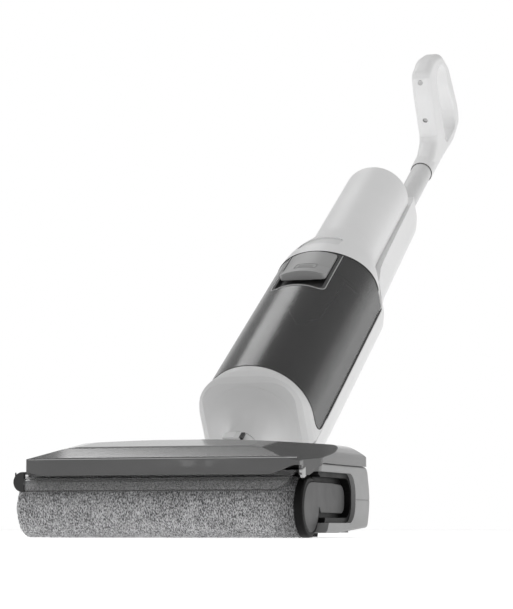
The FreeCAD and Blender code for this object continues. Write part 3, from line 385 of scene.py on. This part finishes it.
def rounded_outline(corners, steps=6):
    """Points round a closed outline of (a, b, radius) corners."""
    outline = []
    count = len(corners)
    for i, (a, b, radius) in enumerate(corners):
        here = Vector((a, b))
        back = (Vector(corners[i - 1][:2]) - here).normalized()
        ahead = (Vector(corners[(i + 1) % count][:2]) - here).normalized()
        if not radius:
            outline.append(here)
            continue
        half = back.angle(ahead) / 2
        reach = radius / math.tan(half)
        centre = here + (back + ahead).normalized() * (radius / math.sin(half))
        start = here + back * reach - centre
        end = here + ahead * reach - centre
        sweep = start.angle_signed(end)
        for k in range(steps + 1):
            turn = -sweep * k / steps
            cos, sin = math.cos(turn), math.sin(turn)
            outline.append(centre + Vector((start.x * cos - start.y * sin, start.x * sin + start.y * cos)))
    return outline


def slab(name, outline, place, depth, edge, material, body):
    """A plate with softened edges. place(a, b, d) gives the point at depth d."""
    middle = sum(outline, Vector((0, 0))) / len(outline)
    levels = [(0.0, edge), (edge * 0.3, edge * 0.3), (edge, 0.0), (depth - edge, 0.0),
              (depth - edge * 0.3, edge * 0.3), (depth, edge)]
    points = []
    for d, inset in levels:
        for p in outline:
            inward = (middle - p)
            inward = inward.normalized() * min(inset, inward.length)
            q = p + inward
            points.append(place(q.x, q.y, d))
    count = len(outline)
    faces = grid_faces(len(levels), count, False, True)
    faces.append(tuple(range(count)))
    faces.append(tuple(range(len(points) - count, len(points))))
    return make_piece(name, points, faces, material, body, smooth=False)


# Floor head

def pile_sleeve():
    """The roller's pile as a tufted sleeve with a trimmed, rounded end on the left."""
    low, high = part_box("roller_pile")
    around = 300
    along = 470
    end_round = 0.003
    tuft_height = 0.0008
    bore = 0.0222
    points = []
    for i in range(along):
        x = low.x + (high.x - low.x) * i / (along - 1)
        edge = min(1.0, (x - low.x) / end_round)
        taper = end_round * (1 - math.sqrt(max(0.0, 1 - (1 - edge) ** 2)))
        for j in range(around):
            turn = 2 * math.pi * (j + 0.35 * (i % 2)) / around
            spot = Vector((x * 420, math.cos(turn) * 11, math.sin(turn) * 11))
            tuft = noise.noise(spot) * 0.5 + noise.noise(spot * 2.3) * 0.5
            radius = PILE_R - tuft_height + tuft_height * max(-1.0, min(1.0, tuft * 1.6)) - taper
            points.append(Vector((x, ROLLER.y + math.cos(turn) * radius, ROLLER.z + math.sin(turn) * radius)))
    for x in (high.x, low.x):
        for j in range(around):
            turn = 2 * math.pi * j / around
            points.append(Vector((x, ROLLER.y + math.cos(turn) * bore, ROLLER.z + math.sin(turn) * bore)))
    faces = grid_faces(along + 2, around, True, True)
    piece = make_piece("pile_sleeve", points, faces, PILE, "roller")
    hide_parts("roller_pile")


def lip_edge():
    """Black seal along the clear lip's lower edge, bent up at both ends, and the black block at its left."""
    low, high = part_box("splash_guard")
    y = (low.y + high.y) / 2 + 0.0002
    bottom = low.z + 0.0007
    left = low.x + 0.0012
    left_top = bottom + 0.0160
    left_bend = 0.0082
    right_bend = 0.0213
    bend_x = 0.1059
    path = [Vector((left, y, left_top))]
    path += [Vector((left + left_bend * (1 - math.cos(t)), y, bottom + left_bend * (1 - math.sin(t))))
             for t in [math.pi / 2 * k / 8 for k in range(9)]]
    path.append(Vector((0.0, y, bottom)))
    start = Vector((bend_x, y, bottom + right_bend))
    for k in range(11):
        turn = math.radians(60.0) * k / 10
        path.append(start + Vector((math.sin(turn), 0, -math.cos(turn))) * right_bend)
    bead("lip_edge_seal", path, 0.0007, BLACK, "cover")
    corner = 0.0086
    block_end = -0.1205
    over = 0.0001
    proud = 0.0002
    block = rounded_outline([(low.x - over, low.z - over, corner), (block_end, low.z - over, 0),
                             (block_end, high.z + over, 0), (low.x - over, high.z + over, corner)], 8)
    depth = high.y - low.y + 2 * proud
    slab("lip_end", block, lambda a, b, d: Vector((a, low.y - proud + d, b)), depth, 0.0006, BLACK,
         "cover")


def cover_fold_highlight():
    """Painted highlight: a pale bead along the fold between the cover's front and its top, standing in for
    the light the fold catches.
    """
    left = -0.1165
    length = 0.2470
    fold_y = -0.0337
    fold_z = 0.0680
    path = [head(left + length * k / 60, fold_y, fold_z) for k in range(61)]
    bead("cover_fold_highlight", path, 0.00035, PALE, "cover", False, 8)


def side_panel():
    """Raised frame and two screws on the outside of the left side cover."""
    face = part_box("side_cover_left")[0].x
    front = 0.006
    back = 0.118
    foot = 0.0200
    top = 0.0500
    outline = rounded_outline([(front, foot, 0.006), (back, foot, 0.008), (back, top, 0.008),
                               (front, top, 0.006)], 6)
    path = [head(face + 0.0001, p.x, p.y) for p in outline]
    bead("side_panel_frame", path, 0.0005, DARK, "floor_head", True, 8)
    screw_z = 0.035
    profile = [(0.0005, 0.0003), (0.0024, 0.0003), (0.0030, 0.0), (0.0034, -0.0006), (0.0005, -0.0006)]
    for n, y in enumerate((0.016, 0.108)):
        lathe(f"side_screw_{n + 1}", profile, head(face, y, screw_z), -SIDE, STEEL, "floor_head", 24)


def tank_front(x, s, proud=0.0, radius=BODY_R):
    """A point on the round front of the body, set proud of it."""
    size = radius + proud
    return at(x, math.sqrt(max(0.0, size * size - x * x)), s)


def seam_height(x):
    """Where the arched seam over the tank lies along the body, at a side distance."""
    return TANK_SEAM + SEAM_R - math.sqrt(SEAM_R * SEAM_R - x * x)


def tank_gasket():
    """Dark line round the tank: down each rear edge and round the front above the cap."""
    proud = BODY_R + 0.00005
    below = 0.0002
    left = []
    corner = 0.019
    back = 0.0222            # the tank's rear edge, behind the body's axis
    for k in range(9):
        left.append((-proud, -back, seam_height(proud) - (seam_height(proud) - TANK_LOW - corner) * k / 8))
    for k in range(1, 9):
        turn = math.pi / 2 * k / 8
        left.append((-proud, -back + corner - corner * math.cos(turn),
                     TANK_LOW + corner - corner * math.sin(turn)))
    arc = []
    for k in range(1, 60):
        turn = math.pi * k / 60
        arc.append((-proud * math.cos(turn), proud * math.sin(turn), TANK_LOW - below))
    right = [(-x, front, s) for x, front, s in reversed(left)]
    path = [at(*p) for p in left + arc + right]
    bead("tank_gasket", path, 0.0005, RUBBER, "waste_tank")


def arch_gasket():
    """Dark line along the arched seam over the tank."""
    path = []
    for k in range(61):
        turn = math.pi * (k / 60 - 0.5)
        x = BODY_R * math.sin(turn)
        path.append(at(x, BODY_R * math.cos(turn), seam_height(x) - 0.0001))
    bead("arch_gasket", path, 0.0006, RUBBER, "waste_tank")


def latch_trim():
    """Pale line round the window that the tank's latch sits in."""
    half = 0.0293
    foot = 0.4027
    corner = 0.007
    gap = 0.002              # under the arched seam
    step = 0.0085
    flat = half * 0.76       # half of the straight foot
    side = [(half, seam_height(half) - gap - step * k) for k in range(9)]
    bend = []
    for k in range(9):
        turn = math.pi / 2 * k / 8
        bend.append((half - corner + corner * math.cos(turn), foot + corner - corner * math.sin(turn)))
    right = side + bend
    across = [(flat - flat * k / 10, foot) for k in range(1, 20)]
    left = [(-x, s) for x, s in reversed(right)]
    path = [tank_front(x, s, 0.0001) for x, s in right + across + left]
    bead("latch_window_trim", path, 0.0005, PALE, "waste_tank")


def latch_front(x, s):
    """A point just proud of the latch's face, which flares out towards its foot."""
    thin = 0.0012
    flare = 0.15
    flare_top = 0.4510
    return tank_front(x, s, 0.0001 + max(thin, 0.0010 + flare * (flare_top - s)))


def latch_icon():
    """Small raised frame on the latch, with two bars in it."""
    half = 0.0115
    bar_share = 0.72
    low = 0.4400
    high = 0.4520
    outline = [(-half, low), (half, low), (half, high), (-half, high)]
    path = []
    for i, (x, s) in enumerate(outline):
        x2, s2 = outline[(i + 1) % 4]
        for k in range(6):
            path.append(latch_front(x + (x2 - x) * k / 6, s + (s2 - s) * k / 6))
    bead("latch_frame", path, 0.00035, SIDE_GREY, "tank_button", True, 8)
    for n, s in enumerate((0.4440, 0.4480)):
        line = [latch_front(-half * bar_share + half * 2 * bar_share * k / 8, s) for k in range(9)]
        bead(f"latch_bar_{n + 1}", line, 0.0003, SIDE_GREY, "tank_button", False, 8)


def tank_ribs():
    """Edges of the baffle moulded inside the tank, just behind its front wall."""
    behind = -0.0031
    runs = {"tank_rib_low": [(-0.036, 0.345), (0.008, 0.345), (0.022, 0.322), (0.030, 0.340)],
            "tank_rib_high": [(0.030, 0.340), (0.036, 0.352), (0.039, 0.440), (0.050, 0.446)]}
    for name, corners in runs.items():
        path = []
        for (x, s), (x2, s2) in zip(corners, corners[1:]):
            path += [tank_front(x + (x2 - x) * k / 12, s + (s2 - s) * k / 12, behind) for k in range(12)]
        bead(name, path, 0.0007, WHITE, "waste_tank", False, 8)


def neck_window():
    """Dark window in the front of the neck, with a raised white tab beside it."""
    window_front = 0.0160
    tab_front = 0.0120
    window = rounded_outline([(0.0005, 0.1495, 0.001), (0.0085, 0.1495, 0.001),
                              (0.0085, 0.1600, 0.001), (0.0005, 0.1600, 0.001)], 4)
    slab("neck_window", window, lambda a, b, d: at(a, window_front + d, b), 0.0024, 0.0002, BLACK,
         "neck")
    tab = rounded_outline([(-0.0120, 0.1490, 0.0015), (-0.0005, 0.1490, 0.0008),
                           (-0.0005, 0.1600, 0.0008), (-0.0120, 0.1600, 0.0015)], 4)
    slab("neck_tab", tab, lambda a, b, d: at(a, tab_front + d, b), 0.0070, 0.0008, WHITE,
         "neck")


def corrugated_hose():
    """Ribbed hose from the head's duct up into the neck, bent at a knee to lie along the body's axis."""
    level = 0.033            # middle of the duct, above the floor
    duct_y = 0.084
    top_s = 0.1265           # just past the swivel pin, so that it hardly meets the tube when that turns
    reach = 0.0125
    rib_step = 0.00075
    sides = 28
    start = head(0, duct_y, level)
    knee = at(0, 0, SWIVEL_S - (SWIVEL.z - level) / UP.z)
    end = at(0, 0, top_s)
    path = []
    first = knee - Vector((0, reach, 0))
    second = knee + UP * reach
    steps = 34
    for k in range(steps):
        path.append(start + (first - start) * k / steps)
    for k in range(17):
        t = k / 16
        path.append(first * (1 - t) ** 2 + knee * 2 * t * (1 - t) + second * t ** 2)
    for k in range(1, 121):
        path.append(second + (end - second) * k / 120)
    spaced = resample(path, rib_step)
    wave = [0.0114, 0.0112, 0.0101, 0.0101, 0.0112]
    sizes = [wave[i % len(wave)] for i in range(len(spaced))]
    points = tube_points(spaced, sizes, sides)
    faces = grid_faces(len(spaced), sides, False, True)
    faces.append(tuple(range(sides)))
    faces.append(tuple(range(len(points) - sides, len(points))))
    hose = make_piece("corrugated_hose", points, faces, RUBBER, None)
    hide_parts("suction_hose")
    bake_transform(hose)


def resample(path, step):
    """Points a step apart along a path."""
    spaced = [path[0]]
    left = step
    for a, b in zip(path, path[1:]):
        length = (b - a).length
        while left <= length:
            spaced.append(a + (b - a) * (left / length))
            left += step
        left -= length
    return spaced


def wheels():
    """Grooved tyre and hub of each rear wheel."""
    for side in ("left", "right"):
        low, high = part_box(f"wheel_{side}")
        middle = (low + high) / 2
        centre = Vector((low.x, middle.y, middle.z))
        width = high.x - low.x
        profile = [(0.0105, 0.0), (0.0128, 0.0), (0.0136, 0.0006), (0.0139, 0.0012)]
        grooves = 4
        pitch = (width - 0.0024) / grooves
        for k in range(grooves):
            x = 0.0012 + pitch * k
            profile += [(0.01395, x + pitch * 0.2), (0.01395, x + pitch * 0.75),
                        (0.0133, x + pitch * 0.8), (0.0133, x + pitch * 0.95)]
        profile += [(0.0139, width - 0.0012), (0.0136, width - 0.0006), (0.0128, width), (0.0105, width)]
        tyre = lathe(f"tyre_{side}", profile, centre, SIDE, TYRE, f"{side}_wheel", 72)
        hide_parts(f"wheel_{side}")
        hub = [(0.0022, 0.0006), (0.0040, 0.0006), (0.0042, 0.0016), (0.0090, 0.0020), (0.0094, 0.0008),
               (0.0104, 0.0008), (0.0104, width - 0.0008), (0.0094, width - 0.0008),
               (0.0090, width - 0.0020), (0.0042, width - 0.0016), (0.0040, width - 0.0006),
               (0.0022, width - 0.0006)]
        lathe(f"hub_{side}", hub, centre, SIDE, DARK, f"{side}_wheel", 72)


def cover_height(x, y):
    """The point on top of the cover at x, y, or None beside it."""
    above = 0.3
    return COVER_TREE.ray_cast(Vector((x, y, above)), Vector((0, 0, -1)))[0]


def cover_shade_sheet():
    """Dark sheet of painted shade under the smoked cover's top: it follows the cover's top from underneath,
    or keeps its last height beside it.
    """
    rows = 24
    columns = 60
    front = 0.0240
    depth = 0.0940
    left = -0.1100
    width = 0.2300
    points = []
    for drop in (0.0034, 0.0040):
        for i in range(rows):
            y = HEAD_Y - front + depth * i / (rows - 1)
            for j in range(columns):
                x = left + width * j / (columns - 1)
                hit = cover_height(x, y)
                z = hit.z - drop if hit else points[-1].z
                points.append(Vector((x, y, z)))
    make_piece("cover_shade_sheet", points, two_sided(rows, columns), DARK, "cover")


def two_sided(rows, columns):
    """Faces of a thin closed sheet made of two grids of points, one under the other."""
    count = rows * columns
    faces = grid_faces(rows, columns)
    faces += [tuple(reversed([v + count for v in face])) for face in grid_faces(rows, columns)]
    rim = list(range(columns)) + [i * columns + columns - 1 for i in range(1, rows)]
    rim += [(rows - 1) * columns + j for j in range(columns - 2, -1, -1)]
    rim += [i * columns for i in range(rows - 2, 0, -1)]
    for a, b in zip(rim, rim[1:] + rim[:1]):
        faces.append((a, b, b + count, a + count))
    return faces


def neck_surround():
    """Dark gloss trim on top of the cover, round the gap that the neck moves in."""
    half = 0.078
    front = 0.081
    back = 0.150
    gap = 0.0432
    gap_front = 0.0918
    squareness = 0.8
    rows = 34
    columns = 70
    rings = []
    for i in range(rows):
        ring = []
        t = i / (rows - 1)
        for j in range(columns):
            u = j / (columns - 1) * 2 - 1
            turn = u * math.pi / 2
            outer_x = half * math.sin(turn)
            outer_y = back - (back - front) * math.cos(turn) ** squareness
            reach = min(1.0, abs(u) * 2)
            inner_x = math.copysign(gap, u) * reach
            inner_y = gap_front if reach < 1 else gap_front + (back - gap_front) * (abs(u) - 0.5) * 2
            x = outer_x + (inner_x - outer_x) * t
            y = HEAD_Y + outer_y + (inner_y - outer_y) * t
            ring.append((x, y))
        rings.append(ring)
    points = []
    for lift in (0.0004, -0.0002):
        for ring in rings:
            for x, y in ring:
                hit = cover_height(x, y)
                z = hit.z if hit else points[-1].z - lift
                points.append(Vector((x, y, z + lift)))
    make_piece("neck_surround", points, two_sided(rows, columns), GLOSS_BLACK, "cover")


def corner_bracket():
    """Frosted bracket that joins the lip to the cover above the roller's end disc."""
    inner_face = 0.1310
    outline = rounded_outline([(-0.030, 0.0575, 0.001), (-0.0255, 0.0505, 0.002), (-0.004, 0.0570, 0.003),
                               (0.012, 0.0585, 0.001), (0.012, 0.0632, 0.001), (-0.010, 0.0632, 0.002)], 4)
    slab("corner_bracket", outline, lambda a, b, d: head(inner_face + d, a, b), 0.0030, 0.0005, FROST,
         "cover")


def display():
    """Round display on top of the body: an open ring of charge segments."""
    centre = at(0, 0.0067, 0.7489)
    ring = 0.021
    segments = 24
    filled = 0.36            # half of the share that a segment fills
    open_from = -0.008       # the ring stops here, short of the tube
    for k in range(segments):
        turn = 2 * math.pi * k / segments
        span = 2 * math.pi / segments * filled
        line = []
        for n in range(5):
            here = turn - span + 2 * span * n / 4
            x = ring * math.cos(here)
            front = ring * math.sin(here)
            line.append(centre + SIDE * x + FRONT * front)
        if (line[2] - centre).dot(FRONT) > open_from:
            bead(f"display_segment_{k + 1}", line, 0.0005, PALE, "upright", False, 6)


def button_icons():
    """A small raised ring on each of the three keys in the grip's rear face."""
    grip_back = 0.067        # the grip's rear face leans back by 4 mm over 70 mm
    lean = 0.004
    lean_from = 1.030
    lean_over = 0.070
    size = 0.0028
    for name, s, proud in (("power", 1.048, 0.0006), ("mode", 1.064, 0.0006), ("self_clean", 1.080, 0.0003)):
        face = grip_back + lean * (s - lean_from) / lean_over + proud
        ring = []
        for k in range(24):
            turn = 2 * math.pi * k / 24
            ring.append(at(size * math.cos(turn), -face, s + size * math.sin(turn)))
        bead(f"{name}_icon", ring, 0.00022, SIDE_GREY, f"{name}_key", True, 6)


def rear_details():
    """Screws, level marks and a vent in the back of the body; the vent's slots are black beads of painted
    shade.
    """
    back = -0.0615
    profile = [(0.0005, 0.0004), (0.0026, 0.0004), (0.0032, 0.0001), (0.0036, -0.0006), (0.0005, -0.0006)]
    for n, (x, s) in enumerate(((-0.030, 0.5180), (0.030, 0.5180), (-0.030, 0.2420), (0.030, 0.2420))):
        lathe(f"rear_screw_{n + 1}", profile, at(x, back, s), -FRONT, STEEL, "upright", 24)
    marks_foot = 0.300
    marks_pitch = 0.022
    for n in range(5):
        s = marks_foot + marks_pitch * n
        line = [at(-0.0150 + 0.0050 * k, back - 0.00005, s) for k in range(7)]
        bead(f"level_mark_{n + 1}", line, 0.00035, PALE, "water_tank", False, 6)
    vent_foot = 0.566
    vent_pitch = 0.0062
    for n in range(9):
        s = vent_foot + vent_pitch * n
        # Painted shade: black beads stand in for the dark inside the vent's openings.
        line = [at(-0.018 + 0.006 * k, back + 0.0008, s) for k in range(7)]
        bead(f"vent_slot_painted_shade_{n + 1}", line, 0.0009, BLACK, "upright", False, 8)


def camera_and_light():
    """Low camera in front of the machine and to its right, three area lights and the studio."""
    turn = math.radians(CAMERA_TURN)
    rise = math.radians(CAMERA_RISE)
    forward = Vector((-math.sin(turn) * math.cos(rise), math.cos(turn) * math.cos(rise), math.sin(rise)))
    data = bpy.data.cameras.new("camera")
    data.sensor_width = 36.0
    data.lens = CAMERA_LENS
    data.clip_start = 0.05
    data.clip_end = 60.0
    camera = bpy.data.objects.new("camera", data)
    camera.location = CAMERA_PLACE
    camera.rotation_euler = forward.to_track_quat("-Z", "Y").to_euler()
    bpy.context.scene.collection.objects.link(camera)
    bpy.context.scene.camera = camera
    bpy.context.scene.view_settings.view_transform = "Standard"

    middle = (cad_low + cad_high) / 2
    for name, place, wide, deep, power in LIGHTS:
        lamp = bpy.data.lights.new(name, "AREA")
        lamp.shape = "RECTANGLE"
        lamp.size = wide
        lamp.size_y = deep
        lamp.energy = power
        holder = bpy.data.objects.new(name, lamp)
        holder.location = middle + Vector(place)
        away = Vector(place).normalized()
        across = (SIDE - away * SIDE.dot(away)).normalized()
        holder.rotation_euler = Matrix((across, away.cross(across), away)).transposed().to_euler()
        bpy.context.scene.collection.objects.link(holder)
    studio()


def studio():
    """White towards the back of the set, greyer overhead and in front."""
    world = bpy.data.worlds.new("studio")
    bpy.context.scene.world = world
    world.use_nodes = True
    tree = world.node_tree
    coords = add_node(tree, "ShaderNodeTexCoord")
    split = add_node(tree, "ShaderNodeSeparateXYZ")
    tree.links.new(coords.outputs["Generated"], split.inputs["Vector"])
    shades = []
    for axis, places, values in (("Z", (0.26, 0.40), (1.0, 0.52)), ("Y", (0.0, 0.5), (0.62, 1.0))):
        ramp = add_node(tree, "ShaderNodeValToRGB")
        for element, place, value in zip(ramp.color_ramp.elements, places, values):
            element.position = place
            element.color = (value, value, value, 1)
        tree.links.new(split.outputs[axis], ramp.inputs["Fac"])
        shades.append(ramp)
    both = add_node(tree, "ShaderNodeMath", operation="MULTIPLY")
    tree.links.new(shades[0].outputs["Color"], both.inputs[0])
    tree.links.new(shades[1].outputs["Color"], both.inputs[1])
    tree.links.new(both.outputs[0], tree.nodes["Background"].inputs["Strength"])
    tree.nodes["Background"].inputs["Color"].default_value = (1, 1, 1, 1)


def floor():
    """Wide pale floor with a little glow of its own."""
    mesh = bpy.data.meshes.new("floor")
    corners = [(x * FLOOR_SIZE, y * FLOOR_SIZE, 0) for x, y in ((-1, -1), (1, -1), (1, 1), (-1, 1))]
    mesh.from_pydata(corners, [], [(0, 1, 2, 3)])
    plane = bpy.data.objects.new("floor", mesh)
    plane.location.z = cad_low.z
    bpy.context.scene.collection.objects.link(plane)
    material, tree, shader = new_material("pale_floor", 0.9, Emission_Color=(1, 1, 1, 1),
                                          Emission_Strength=FLOOR_GLOW)
    colour, _ = noise_ramp(tree, 3.0, 0.93, 0.95)
    tree.links.new(colour, shader.inputs["Base Color"])
    mesh.materials.append(material)


camera_and_light()
floor()
dress_cad()
COVER_TREE = BVHTree.FromPolygons([v.co for v in frame["nodes"]["top_cover"].data.vertices],
                                  [tuple(p.vertices) for p in frame["nodes"]["top_cover"].data.polygons])
pile_sleeve()
lip_edge()
cover_fold_highlight()
side_panel()
corner_bracket()
cover_shade_sheet()
neck_surround()
wheels()
corrugated_hose()
tank_gasket()
arch_gasket()
latch_trim()
latch_icon()
tank_ribs()
neck_window()
display()
button_icons()
rear_details()
